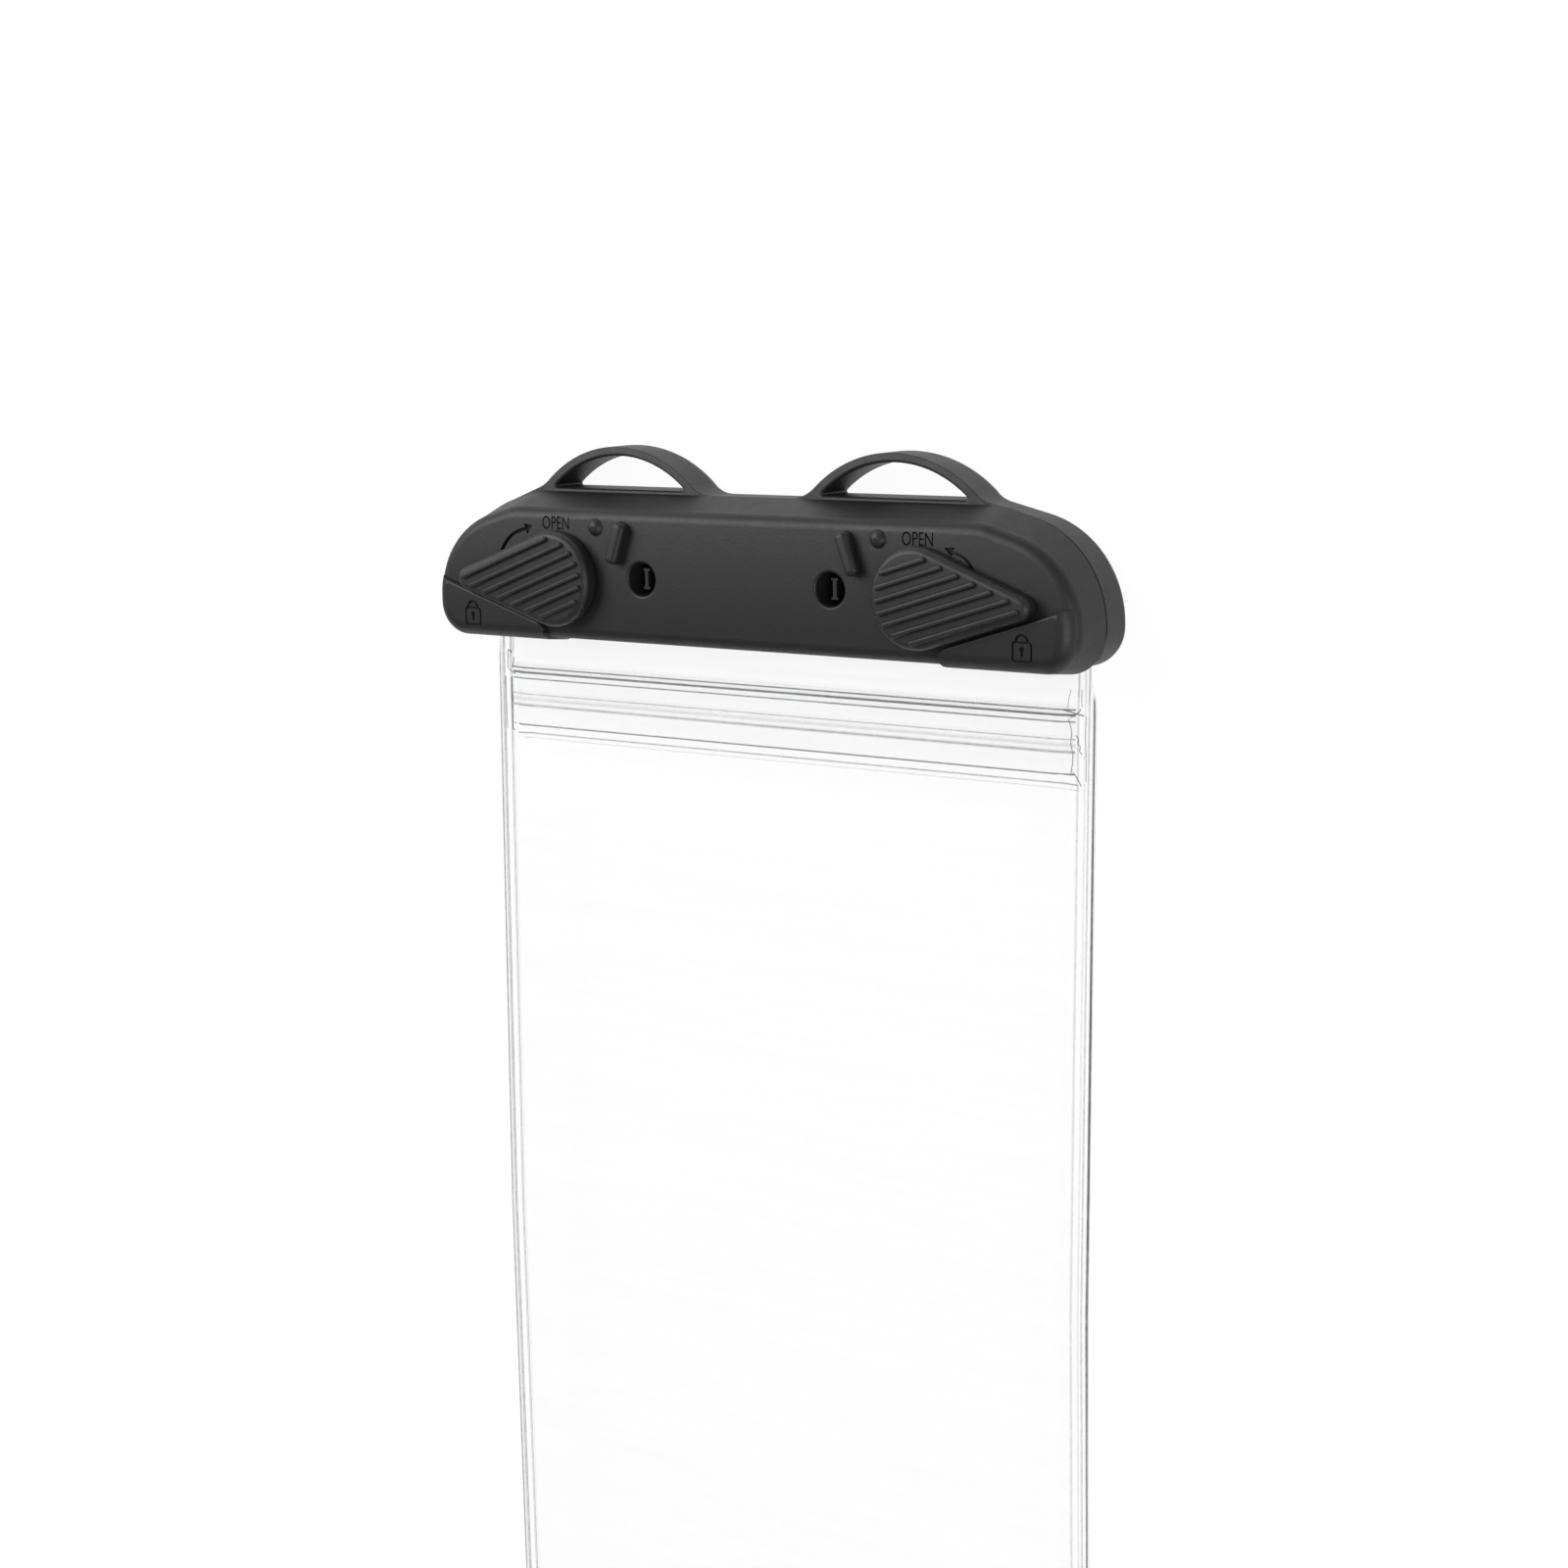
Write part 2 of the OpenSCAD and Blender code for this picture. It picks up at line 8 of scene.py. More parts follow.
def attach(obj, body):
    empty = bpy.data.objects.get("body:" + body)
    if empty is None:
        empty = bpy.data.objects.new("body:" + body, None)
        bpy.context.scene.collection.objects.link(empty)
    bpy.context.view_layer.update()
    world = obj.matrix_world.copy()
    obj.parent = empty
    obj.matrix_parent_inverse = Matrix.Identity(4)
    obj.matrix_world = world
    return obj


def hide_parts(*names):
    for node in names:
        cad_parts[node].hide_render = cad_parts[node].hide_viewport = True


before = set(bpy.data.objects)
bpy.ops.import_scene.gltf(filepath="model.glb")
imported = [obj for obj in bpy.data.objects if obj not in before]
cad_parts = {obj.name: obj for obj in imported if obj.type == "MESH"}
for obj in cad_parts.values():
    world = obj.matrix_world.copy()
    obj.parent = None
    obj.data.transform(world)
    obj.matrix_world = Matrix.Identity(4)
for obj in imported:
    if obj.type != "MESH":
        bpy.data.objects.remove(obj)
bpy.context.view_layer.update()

# The view: the pouch lies on its back and is seen from above, from its right and a little
# from its cord end, with a long lens. The line of the guide posts is level in the picture.
AIM = Vector((0.008898, 0.063368, 0.0146))
DISTANCE = 0.44994
AZIMUTH, ELEVATION, ROLL = radians(35.411), radians(9.928), radians(-1.197)
toward = Vector((sin(AZIMUTH) * cos(ELEVATION), sin(ELEVATION), cos(AZIMUTH) * cos(ELEVATION)))
level = (-toward).cross(Vector((0, 1, 0))).normalized()
upright = level.cross(-toward)
side_axis = cos(ROLL) * level + sin(ROLL) * upright
top_axis = cos(ROLL) * upright - sin(ROLL) * level
lens = bpy.data.cameras.new("lens")
lens.sensor_width = 36
lens.lens = 66.906
lens.clip_start = 0.01
camera = bpy.data.objects.new("camera", lens)
bpy.context.scene.collection.objects.link(camera)
camera.matrix_world = Matrix.Translation(AIM + DISTANCE * toward) @ Matrix(
    (side_axis, top_axis, toward)).transposed().to_4x4()
bpy.context.scene.camera = camera

# The stage: a pale table top that reads as white in the picture and still takes the soft
# shadow of the object, under two large soft lamps and an even sky.
bpy.context.scene.view_settings.view_transform = "Standard"
bpy.context.scene.cycles.transparent_max_bounces = 32


class Wire:
    """A socket of a material. Arithmetic on it adds Math nodes, and node() adds any other node."""

    def __init__(self, tree, socket=None):
        self.tree, self.socket = tree, socket

    def node(self, kind, settings=None, inputs=None, out=0):
        new = self.tree.nodes.new(kind)
        for key, value in (settings or {}).items():
            if key == "stops":
                ramp = new.color_ramp.elements
                while len(ramp) < len(value):
                    ramp.new(0.5)
                for stop, (position, colour) in zip(ramp, value):
                    stop.position = position
                    stop.color = (*colour, 1)
            else:
                setattr(new, key, value)
        for key, value in (inputs or {}).items():
            if isinstance(value, Wire):
                self.tree.links.new(value.socket, new.inputs[key])
            else:
                new.inputs[key].default_value = value
        return Wire(self.tree, new.outputs[out])

    def math(self, operation, *values):
        return self.node("ShaderNodeMath", {"operation": operation}, dict(enumerate(values)))

    def __add__(self, other):
        return self.math("ADD", self, other)

    def __radd__(self, other):
        return self.math("ADD", other, self)

    def __sub__(self, other):
        return self.math("SUBTRACT", self, other)

    def __rsub__(self, other):
        return self.math("SUBTRACT", other, self)

    def __mul__(self, other):
        return self.math("MULTIPLY", self, other)

    def __rmul__(self, other):
        return self.math("MULTIPLY", other, self)

    def __truediv__(self, other):
        return self.math("DIVIDE", self, other)

    def __abs__(self):
        return self.math("ABSOLUTE", self)


bpy.ops.object.select_all(action="DESELECT")
bpy.ops.mesh.primitive_plane_add(size=4, location=(0, 0, -0.0001))
table_top = bpy.context.object
table_top.name = "table_top"
paint = bpy.data.materials.new("table_paint")
paint.use_nodes = True
tree = paint.node_tree
tree.nodes.clear()
start = Wire(tree)
ray = start.node("ShaderNodeLightPath", out="Is Camera Ray")
mirror_ray = start.node("ShaderNodeLightPath", out="Is Glossy Ray")
clear_ray = start.node("ShaderNodeLightPath", out="Is Transmission Ray")
seen = start.math("MINIMUM", ray + mirror_ray + clear_ray, 1.0)
painted = start.node("ShaderNodeBsdfDiffuse", inputs={"Color": (0.9, 0.9, 0.9, 1)})
glow = start.node("ShaderNodeEmission", inputs={"Color": (1, 1, 1, 1), "Strength": 1.05})
mixed = start.node("ShaderNodeMixShader", inputs={0: seen * 0.9, 1: painted, 2: glow})
surface = tree.nodes.new("ShaderNodeOutputMaterial")
tree.links.new(mixed.socket, surface.inputs["Surface"])
table_top.data.materials.append(paint)

sky = bpy.data.worlds.new("sky")
sky.use_nodes = True
sky.node_tree.nodes["Background"].inputs["Color"].default_value = (1, 1, 1, 1)
sky.node_tree.nodes["Background"].inputs["Strength"].default_value = 0.25
bpy.context.scene.world = sky


def hang_lamp(name, place, aim, size, power):
    """A square soft lamp that looks at a point."""
    lamp = bpy.data.lights.new(name, "AREA")
    lamp.size, lamp.energy = size, power
    holder = bpy.data.objects.new(name, lamp)
    bpy.context.scene.collection.objects.link(holder)
    holder.location = place
    holder.rotation_euler = (Vector(place) - Vector(aim)).to_track_quat("Z", "Y").to_euler()


hang_lamp("window_lamp", (-0.7, 0.62, 0.8), (0, 0.08, 0), 0.8, 11)
hang_lamp("side_lamp", (0.8, -0.1, 0.7), (0, 0.08, 0), 0.6, 5)

# Front half of the clamp: one black moulding with a soft rim, a raised pad under each lever,
# a stop bar and a click dome for the open lever, two round holes and engraved signs.
GUIDE_LINE = 93.85
CLAMP_W, TOP, BOTTOM = 123, 12.9, 10.8
PARTING, FACE = 7.2, 14.6
UPPER_R, LOWER_R, CORNER_Y = 16.1, 6.2, -4.2
LOCK_X, LOCK_Y = 34.6, -0.4
HUB_R, TIP_R, LOCK_LEN = 7.7, 1.9, 17.7
DROOP, OPEN_TURN = 1.9, 130
POST_X, GUIDE_R = 18, 2.6
PAD_RISE = 1.2
corner_x = CLAMP_W / 2 - UPPER_R


def arc(cx, cy, r, a0, a1, n, out=1):
    """Points along an arc in mm, each with its outward direction; angles in degrees."""
    turns = [radians(a0 + (a1 - a0) * i / n) for i in range(n + 1)]
    return [(cx + r * cos(t), cy + r * sin(t), out * cos(t), out * sin(t)) for t in turns]


def both_ways(half):
    """The whole outline of a mirrored shape from its right half."""
    return half + [(-x, y, -nx, ny) for x, y, nx, ny in reversed(half)]


def round_over(z, r, n, share=0):
    """Levels of a quarter-round rim that ends at height z."""
    return [(z - r + r * sin(pi / 2 * i / n), r - r * cos(pi / 2 * i / n), share) for i in range(n + 1)]


def lean(ny):
    """How far the side band leans in by the time it reaches the face."""
    return 0.6 + (1.3 if ny > 0 else -0.2) * ny * ny


def draw_out(name, count, steps, where):
    """A closed solid: a ring of points is extruded step by step; where(point, step) gives each place."""
    bpy.ops.object.select_all(action="DESELECT")
    bpy.ops.mesh.primitive_circle_add(vertices=count, fill_type="NGON")
    solid = bpy.context.object
    solid.name = name
    bpy.ops.object.mode_set(mode="EDIT")
    mesh = bmesh.from_edit_mesh(solid.data)
    spot = mesh.verts.layers.int.new("spot")
    for index, vert in enumerate(mesh.verts):
        vert[spot] = index
    for step in range(steps):
        if step:
            bpy.ops.mesh.extrude_region_move()
        mesh = bmesh.from_edit_mesh(solid.data)
        spot = mesh.verts.layers.int["spot"]
        for vert in mesh.verts:
            if vert.select:
                vert.co = where(vert[spot], step)
        bmesh.update_edit_mesh(solid.data)
    bpy.ops.mesh.select_all(action="SELECT")
    bpy.ops.mesh.normals_make_consistent(inside=False)
    bpy.ops.object.mode_set(mode="OBJECT")
    return solid


def raise_solid(name, outline, levels):
    """An outline raised level by level, each ring set in by its inset and its share of the lean."""
    def where(point, step):
        x, y, nx, ny, *own = outline[point]
        z, inset, share = levels[step]
        d = inset * (own[0] if own else 1) + share * lean(ny)
        return x - nx * d, y - ny * d, z
    return draw_out(name, len(outline), len(levels), where)


def place(solid, x=0, y=0, z=0, turn=0, mirror=1):
    """Puts a part at its place in mm and applies it, turned the right way out."""
    solid.location, solid.rotation_euler = (x, y, z), (0, 0, radians(turn))
    solid.scale = (mirror, 1, 1)
    bpy.ops.object.select_all(action="DESELECT")
    solid.select_set(True)
    bpy.context.view_layer.objects.active = solid
    bpy.ops.object.transform_apply()
    if mirror < 0:
        bpy.ops.object.mode_set(mode="EDIT")
        bpy.ops.mesh.select_all(action="SELECT")
        bpy.ops.mesh.normals_make_consistent(inside=False)
        bpy.ops.object.mode_set(mode="OBJECT")
    return solid


def combine(target, tool, operation):
    """Joins a tool to a solid or cuts it away, and removes the tool."""
    step = target.modifiers.new("step", "BOOLEAN")
    step.operation, step.object, step.solver = operation, tool, "EXACT"
    bpy.context.view_layer.objects.active = target
    bpy.ops.object.modifier_apply(modifier=step.name)
    bpy.data.objects.remove(tool)
    return target


def bar(name, x0, x1, y0, y1, z0, z1, r=0.0):
    """A plain bar between two corners, its upright edges rounded by r."""
    r = max(r, 0.02)
    n = 1 if r < 0.05 else 6
    ring = (arc(x1 - r, y0 + r, r, -90, 0, n) + arc(x1 - r, y1 - r, r, 0, 90, n)
            + arc(x0 + r, y1 - r, r, 90, 180, n) + arc(x0 + r, y0 + r, r, 180, 270, n))
    return raise_solid(name, ring, [(z0, 0, 0), (z1, 0, 0)])


def disc(name, x, y, r, z0, z1, n=64):
    """A round pin or drill of radius r between two heights."""
    return raise_solid(name, arc(x, y, r, 0, 360 - 360 / n, n - 1), [(z0, 0, 0), (z1, 0, 0)])


slope = 17
slope_x, slope_y = corner_x + UPPER_R * sin(radians(slope)), CORNER_Y + UPPER_R * cos(radians(slope))
knee_x = slope_x - (TOP - slope_y) / tan(radians(slope))
front_half = (arc(CLAMP_W / 2 - LOWER_R, LOWER_R - BOTTOM, LOWER_R, -90, 0, 14)
              + arc(corner_x, CORNER_Y, UPPER_R, 0, 90 - slope, 24)
              + arc(knee_x - 12 * tan(radians(slope / 2)), TOP - 12, 12, 90 - slope, 90, 8))
front_clamp = raise_solid("front_clamp", both_ways(front_half),
                          [(PARTING, 0.5, 0), (PARTING + 0.12, 0.42, 0), (PARTING + 0.16, 0, 0)]
                          + round_over(FACE, 2.0, 10, 1))

half_a = degrees(asin((HUB_R - TIP_R) / LOCK_LEN))
rise_a = half_a - DROOP


def pad_line(x):
    """Height of a pad's upper edge, which follows the locked lever."""
    return LOCK_Y - (HUB_R + 0.35) / cos(radians(rise_a)) + (x - LOCK_X) * tan(radians(rise_a))


def open_bar():
    """Stop bar beside the open lever."""
    inner, width = HUB_R + 1.05, 2.3
    ring = (arc(13.3 - 0.9, inner + width - 0.9, 0.9, 0, 90, 8)
            + arc(6.4 + 0.9, inner + width - 0.9, 0.9, 90, 180, 8)
            + arc(6.4 + 0.9, inner + 0.9, 0.9, 180, 270, 8)
            + arc(13.3 - 0.9, inner + 0.9, 0.9, 270, 360, 8))
    made = raise_solid("open_bar", ring, [(FACE - 1, 0, 0)] + round_over(FACE + 1.9, 0.85, 6))
    return place(made, LOCK_X, LOCK_Y, 0, OPEN_TURN - DROOP - half_a)


def click_dome():
    """Low dome that clicks under the open lever."""
    a = radians(OPEN_TURN - DROOP + 4.3)
    big = (1.45 ** 2 + 0.85 ** 2) / (2 * 0.85)
    top = degrees(asin(1.45 / big))
    rings = [(FACE + 0.85 - big + big * cos(radians(top * (1 - i / 8))),
              1.45 - big * sin(radians(top * (1 - i / 8))), 0) for i in range(8)]
    made = raise_solid("click_dome", arc(0, 0, 1.45, 0, 350, 35), [(FACE - 0.3, 0, 0)] + rings)
    return place(made, LOCK_X + 11.4 * cos(a), LOCK_Y + 11.4 * sin(a))


def eased(points, first, last):
    """The same points, each with its own share of the rim's inset."""
    return [(*p, first + (last - first) * i / (len(points) - 1)) for i, p in enumerate(points)]


def lever_pad():
    """Raised pad beside the locked lever: a slice of the same soft-rimmed form, one step higher."""
    r, low, far, top = 1.6, -BOTTOM - 0.65, 66, FACE + PAD_RISE
    form = (arc(CLAMP_W / 2 - LOWER_R, low + LOWER_R, LOWER_R, -90, 0, 14)
            + arc(corner_x, CORNER_Y, UPPER_R, 0, 40, 10) + [(20, 4, 0, 1), (20, low, 0, -1)])
    pad = raise_solid("lever_pad", form, [(PARTING + 0.2, 0, 0)] + round_over(top, 2.6, 12, 1.8))
    ring = (arc(37.8 + r, low + r, r, 180, 270, 8) + arc(far - r, low + r, r, -90, 0, 8)
            + arc(far - r, pad_line(far - r) - r, r, 0, 90 + rise_a, 8)
            + arc(37.8 + r, pad_line(37.8 + r) - r / cos(radians(rise_a)), r, 90 + rise_a, 180, 8))
    slice_levels = [(PARTING, 0, 0)] + round_over(top + 0.01, 0.5, 6)
    return combine(pad, raise_solid("slice", ring, slice_levels), "INTERSECT")


for side in (1, -1):
    for make in (lever_pad, open_bar, click_dome):
        combine(front_clamp, place(make(), mirror=side), "UNION")
    combine(front_clamp, disc("bore", side * LOCK_X, LOCK_Y, 3.56, PARTING - 1, FACE + 1), "DIFFERENCE")
    rim = raise_solid("guide_hole", arc(side * POST_X, 0, GUIDE_R, 0, 355, 71),
                      [(PARTING - 1, 0, 0), (FACE - 0.45, 0, 0), (FACE - 0.2, -0.15, 0), (FACE, -0.5, 0),
                       (FACE + 0.2, -0.9, 0)])
    combine(front_clamp, rim, "DIFFERENCE")


def film_room(z0, z1):
    """Room for the films between the halves, round at its upper corners like the clamp."""
    ring = arc(48, -2.6, 12, 0, 90, 20) + arc(-48, -2.6, 12, 90, 180, 20) + [(-60, -16, 0, 0), (60, -16, 0, 0)]
    return raise_solid("film_room", ring, [(z0, 0, 0), (z1, 0, 0)])


combine(front_clamp, film_room(PARTING - 1, PARTING + 0.45), "DIFFERENCE")
combine(front_clamp, bar("seal_groove", -56, 56, -8.5, -5.7, PARTING - 1, PARTING + 1.9), "DIFFERENCE")


def cut_word(word, x0, x1, y0, y1, z, deep):
    """Sinks a short word into a flat face, fitted to its box in mm."""
    text = bpy.data.curves.new("word", "FONT")
    text.body, text.extrude = word, 0.5
    letters = bpy.data.objects.new("word", text)
    bpy.context.scene.collection.objects.link(letters)
    bpy.ops.object.select_all(action="DESELECT")
    letters.select_set(True)
    bpy.context.view_layer.objects.active = letters
    bpy.ops.object.convert(target="MESH")
    points = [v.co for v in letters.data.vertices]
    low = [min(p[k] for p in points) for k in range(2)]
    size = [max(p[k] for p in points) - low[k] for k in range(2)]
    for p in points:
        p.x = x0 + (p.x - low[0]) / size[0] * (x1 - x0)
        p.y = y0 + (p.y - low[1]) / size[1] * (y1 - y0)
        p.z = z - deep if p.z < 0 else z + 1
    bpy.ops.object.mode_set(mode="EDIT")
    bpy.ops.mesh.select_all(action="SELECT")
    bpy.ops.mesh.remove_doubles(threshold=0.001)
    bpy.ops.mesh.normals_make_consistent(inside=False)
    bpy.ops.object.mode_set(mode="OBJECT")
    combine(front_clamp, letters, "DIFFERENCE")


def cut_arrow(points, width, head, z, deep):
    """Sinks a curved arrow into a flat face; the last point is the tip of its head."""
    ways = []
    for i, (x, y) in enumerate(points[:-1]):
        a, b = points[max(i - 1, 0)], points[i + 1]
        length = hypot(b[0] - a[0], b[1] - a[1])
        ways.append((x, y, -(b[1] - a[1]) / length, (b[0] - a[0]) / length))
    x, y, nx, ny = ways[-1]
    right = [(px - qx * width / 2, py - qy * width / 2, 0, 0) for px, py, qx, qy in ways]
    left = [(px + qx * width / 2, py + qy * width / 2, 0, 0) for px, py, qx, qy in reversed(ways)]
    barbs = [(x - nx * head / 2, y - ny * head / 2, 0, 0), (*points[-1], 0, 0),
             (x + nx * head / 2, y + ny * head / 2, 0, 0)]
    arrow = raise_solid("arrow", right + barbs + left, [(z - deep, 0, 0), (z + 1, 0, 0)])
    combine(front_clamp, arrow, "DIFFERENCE")


def bent(x0, y0, x1, y1, bulge, n=10):
    """Points on a bow from one end to the other, pushed out sideways by bulge."""
    length = hypot(x1 - x0, y1 - y0)
    return [(x0 + (x1 - x0) * i / n - (y1 - y0) / length * bulge * sin(pi * i / n),
             y0 + (y1 - y0) * i / n + (x1 - x0) / length * bulge * sin(pi * i / n)) for i in range(n + 1)]


SIGN_DEEP, PADLOCK_DEEP = 0.45, 0.35
cut_word("OPEN", -37.8, -32.3, 7.4, 9.5, FACE, SIGN_DEEP)
cut_word("OPEN", 31.2, 36.6, 7.2, 9.3, FACE, SIGN_DEEP)
cut_arrow(bent(-46.7, 3.5, -41.4, 7.3, 0.8) + [(-39.9, 7.9)], 0.62, 1.9, FACE, SIGN_DEEP)
cut_arrow(bent(43.5, 4.0, 40.1, 6.5, -0.5) + [(38.5, 7.1)], 0.45, 1.5, FACE, SIGN_DEEP)


def padlock(x, y, z):
    """Cutter for a small padlock in fine lines: body with a key hole under a bowed shackle."""
    sign = bar("padlock", x - 1.7, x + 1.7, y - 1.7, y + 1.4, z - PADLOCK_DEEP, z + 1, 0.5)
    combine(sign, bar("core", x - 1.42, x + 1.42, y - 1.4, y + 1.12, z - 1, z + 2, 0.35), "DIFFERENCE")
    outer, inner = arc(x, y + 1.32, 1.2, 0, 180, 16), arc(x, y + 1.32, 0.8, 180, 0, 16)
    combine(sign, raise_solid("bow", outer + inner, [(z - PADLOCK_DEEP, 0, 0), (z + 1, 0, 0)]), "UNION")
    combine(sign, disc("key_eye", x, y + 0.25, 0.4, z - PADLOCK_DEEP, z + 1, 24), "UNION")
    combine(sign, bar("key_slot", x - 0.18, x + 0.18, y - 0.85, y + 0.2, z - PADLOCK_DEEP, z + 1), "UNION")
    return sign


for side in (1, -1):
    combine(front_clamp, padlock(side * 52.3, -7.2, FACE + PAD_RISE), "DIFFERENCE")


CROWNED = 5.0  # how strongly the black faces catch the light as if slightly domed


def black_plastic(name, shade, grain, gloss):
    """Matt black moulded plastic: spark-eroded grain, faint cloudy shade and soft handling marks."""
    material = bpy.data.materials.new(name)
    material.use_nodes = True
    shader = material.node_tree.nodes["Principled BSDF"]
    start = Wire(material.node_tree)
    spot = start.node("ShaderNodeTexCoord", out="Object")
    fine = start.node("ShaderNodeTexNoise", inputs={
        "Vector": spot, "Scale": grain, "Detail": 2.0, "Roughness": 0.6})
    cloud = start.node("ShaderNodeTexNoise", inputs={"Vector": spot, "Scale": 60.0, "Detail": 3.0})
    marks = start.node("ShaderNodeTexNoise", inputs={
        "Vector": spot, "Scale": 420.0, "Detail": 4.0, "Roughness": 0.7})
    tone = start.math("ADD", 0.86 + cloud * 0.18, fine * 0.12)
    colour = start.node("ShaderNodeMix", {"data_type": "RGBA"}, {
        0: tone - 0.4, 6: (shade * 0.6, shade * 0.6, shade * 0.62, 1),
        7: (shade * 1.3, shade * 1.3, shade * 1.34, 1)}, out=2)
    rough = gloss + (marks - 0.5) * 0.14 + (fine - 0.5) * 0.1
    along = start.node("ShaderNodeSeparateXYZ", inputs={0: spot}, out=1) - GUIDE_LINE / 1000
    crown = start.node("ShaderNodeBump", inputs={"Height": along * along * -CROWNED, "Distance": 1.0})
    grain_bump = start.node("ShaderNodeBump", inputs={
        "Height": fine, "Strength": 0.16, "Distance": 0.00012, "Normal": crown})
    material.node_tree.links.new(colour.socket, shader.inputs["Base Color"])
    material.node_tree.links.new(rough.socket, shader.inputs["Roughness"])
    material.node_tree.links.new(grain_bump.socket, shader.inputs["Normal"])
    shader.inputs["Specular IOR Level"].default_value = 0.5
    return material


def settle(piece, material, angle=32):
    """Takes a finished piece from mm to its place in the frame, with its finish and smooth faces."""
    for index in range(len(piece.data.materials) - 1, -1, -1):
        piece.data.materials.pop(index=index)
    piece.data.materials.append(material)
    layer = piece.data.attributes.get("spot")
    if layer:
        piece.data.attributes.remove(layer)
    piece.scale, piece.location = (0.001,) * 3, (0, GUIDE_LINE / 1000, 0)
    bpy.ops.object.select_all(action="DESELECT")
    piece.select_set(True)
    bpy.context.view_layer.objects.active = piece
    bpy.ops.object.transform_apply()
    bpy.ops.object.shade_smooth_by_angle(angle=radians(angle))
    facing = piece.modifiers.new("facing", "WEIGHTED_NORMAL")
    facing.keep_sharp = True
    bpy.ops.object.modifier_apply(modifier=facing.name)


shell_finish = black_plastic("clamp_plastic", 0.009, 2600, 0.52)
settle(front_clamp, shell_finish)
# The floors of the engraved signs and padlocks take a darker copy of the plastic: painted shade for the
# recesses, which hold less light.
front_clamp.data.materials.append(black_plastic("sign_floor_painted_shade", 0.003, 2600, 0.8))
for face in front_clamp.data.polygons:
    low = min(abs(face.center.z * 1000 - z) for z in (FACE - SIGN_DEEP, FACE + PAD_RISE - PADLOCK_DEEP))
    if face.normal.z > 0.9 and low < 0.02:
        face.material_index = 1
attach(front_clamp, "clamp")
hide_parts("front_shell")

# Rear half of the clamp: the same black plastic, with a cord loop rising over each side, two
# guide posts that enter the front half, and a round recess behind each lock.
LOOP_X, LOOP_SHIFT, LOOP_TOP, LOOP_OUT, LOOP_IN, CROWN, FLARE = 26.4, -1.5, 20.3, 21.5, 19.5, 1.5, 7
LOOP_RIM = 0.36
arch_y, flare_y = LOOP_TOP - LOOP_OUT, TOP + FLARE
flare_dx = sqrt((LOOP_OUT + FLARE) ** 2 - (flare_y - arch_y) ** 2)
arch_a = degrees(atan2(flare_y - arch_y, flare_dx))


def rear_half(cx):
    """Right half of the rear outline, its arch centred at cx."""
    reach = (cx + flare_dx - corner_x, flare_y - CORNER_Y)
    steep = degrees(atan2(*reach)) + degrees(acos((UPPER_R + FLARE) / hypot(*reach)))
    return (arc(CLAMP_W / 2 - LOWER_R, LOWER_R - BOTTOM, LOWER_R, -90, 0, 14)
            + arc(corner_x, CORNER_Y, UPPER_R, 0, 90 - steep, 20)
            + eased(arc(cx + flare_dx, flare_y, FLARE, 270 - steep, 180 + arch_a, 8, -1), 1, LOOP_RIM)
            + eased(arc(cx, arch_y, LOOP_OUT, arch_a, 180 - arch_a, 40), LOOP_RIM, LOOP_RIM)
            + eased(arc(cx - flare_dx, flare_y, FLARE, -arch_a, -90, 12, -1), LOOP_RIM, 1))


rear_ring = rear_half(LOOP_X + LOOP_SHIFT)
rear_ring += [(-x, y, -nx, *more) for x, y, nx, *more in reversed(rear_half(LOOP_X - LOOP_SHIFT))]
back_rim = [(2.2 - 2.2 * sin(pi / 2 * i / 8), 2.2 - 2.2 * cos(pi / 2 * i / 8), 0) for i in range(8, -1, -1)]
rear_clamp = raise_solid("rear_clamp", rear_ring,
                         back_rim + [(PARTING - 0.12, 0, 0), (PARTING - 0.1, 0.42, 0), (PARTING, 0.5, 0)])
combine(rear_clamp, film_room(PARTING - 0.45, PARTING + 1), "DIFFERENCE")
combine(rear_clamp, bar("seal_groove", -56, 56, -8.5, -5.7, PARTING - 1.9, PARTING + 1), "DIFFERENCE")
hole_y, hole_floor, foot_r = LOOP_TOP - CROWN - LOOP_IN, TOP + 0.55, 0.3
foot = degrees(asin((hole_floor + foot_r - hole_y) / (LOOP_IN - foot_r)))
foot_dx = (LOOP_IN - foot_r) * cos(radians(foot))


def loop_opening(cx):
    """Cutter for the D-shaped opening under the arch centred at cx, flared at both faces."""
    ring = (arc(cx, hole_y, LOOP_IN, foot, 180 - foot, 40)
            + arc(cx - foot_dx, hole_floor + foot_r, foot_r, 180 - foot, 270, 8)
            + arc(cx + foot_dx, hole_floor + foot_r, foot_r, 270, 360 + foot, 8))
    flared = [(-1, -0.5, 0), (0, -0.5, 0), (0.05, -0.33, 0), (0.14, -0.15, 0), (0.3, -0.04, 0), (0.5, 0, 0)]
    upper = [(PARTING - z, inset, 0) for z, inset, _ in reversed(flared)]
    return raise_solid("loop_opening", ring, flared + upper)


def guide_post():
    """A round foot and an I-shaped post with softly broken edges."""
    post = disc("guide_post", POST_X, 0, 2.3, PARTING - 0.46, PARTING + 0.75)
    for x0, x1, y0, y1 in ((-0.32, 0.32, -1.5, 1.5), (-0.62, 0.62, 1.25, 1.65), (-0.62, 0.62, -1.65, -1.25)):
        ring = bar("post_web", POST_X + x0, POST_X + x1, y0, y1, PARTING - 0.4, FACE - 1.5, 0.12)
        combine(post, ring, "UNION")
    return post


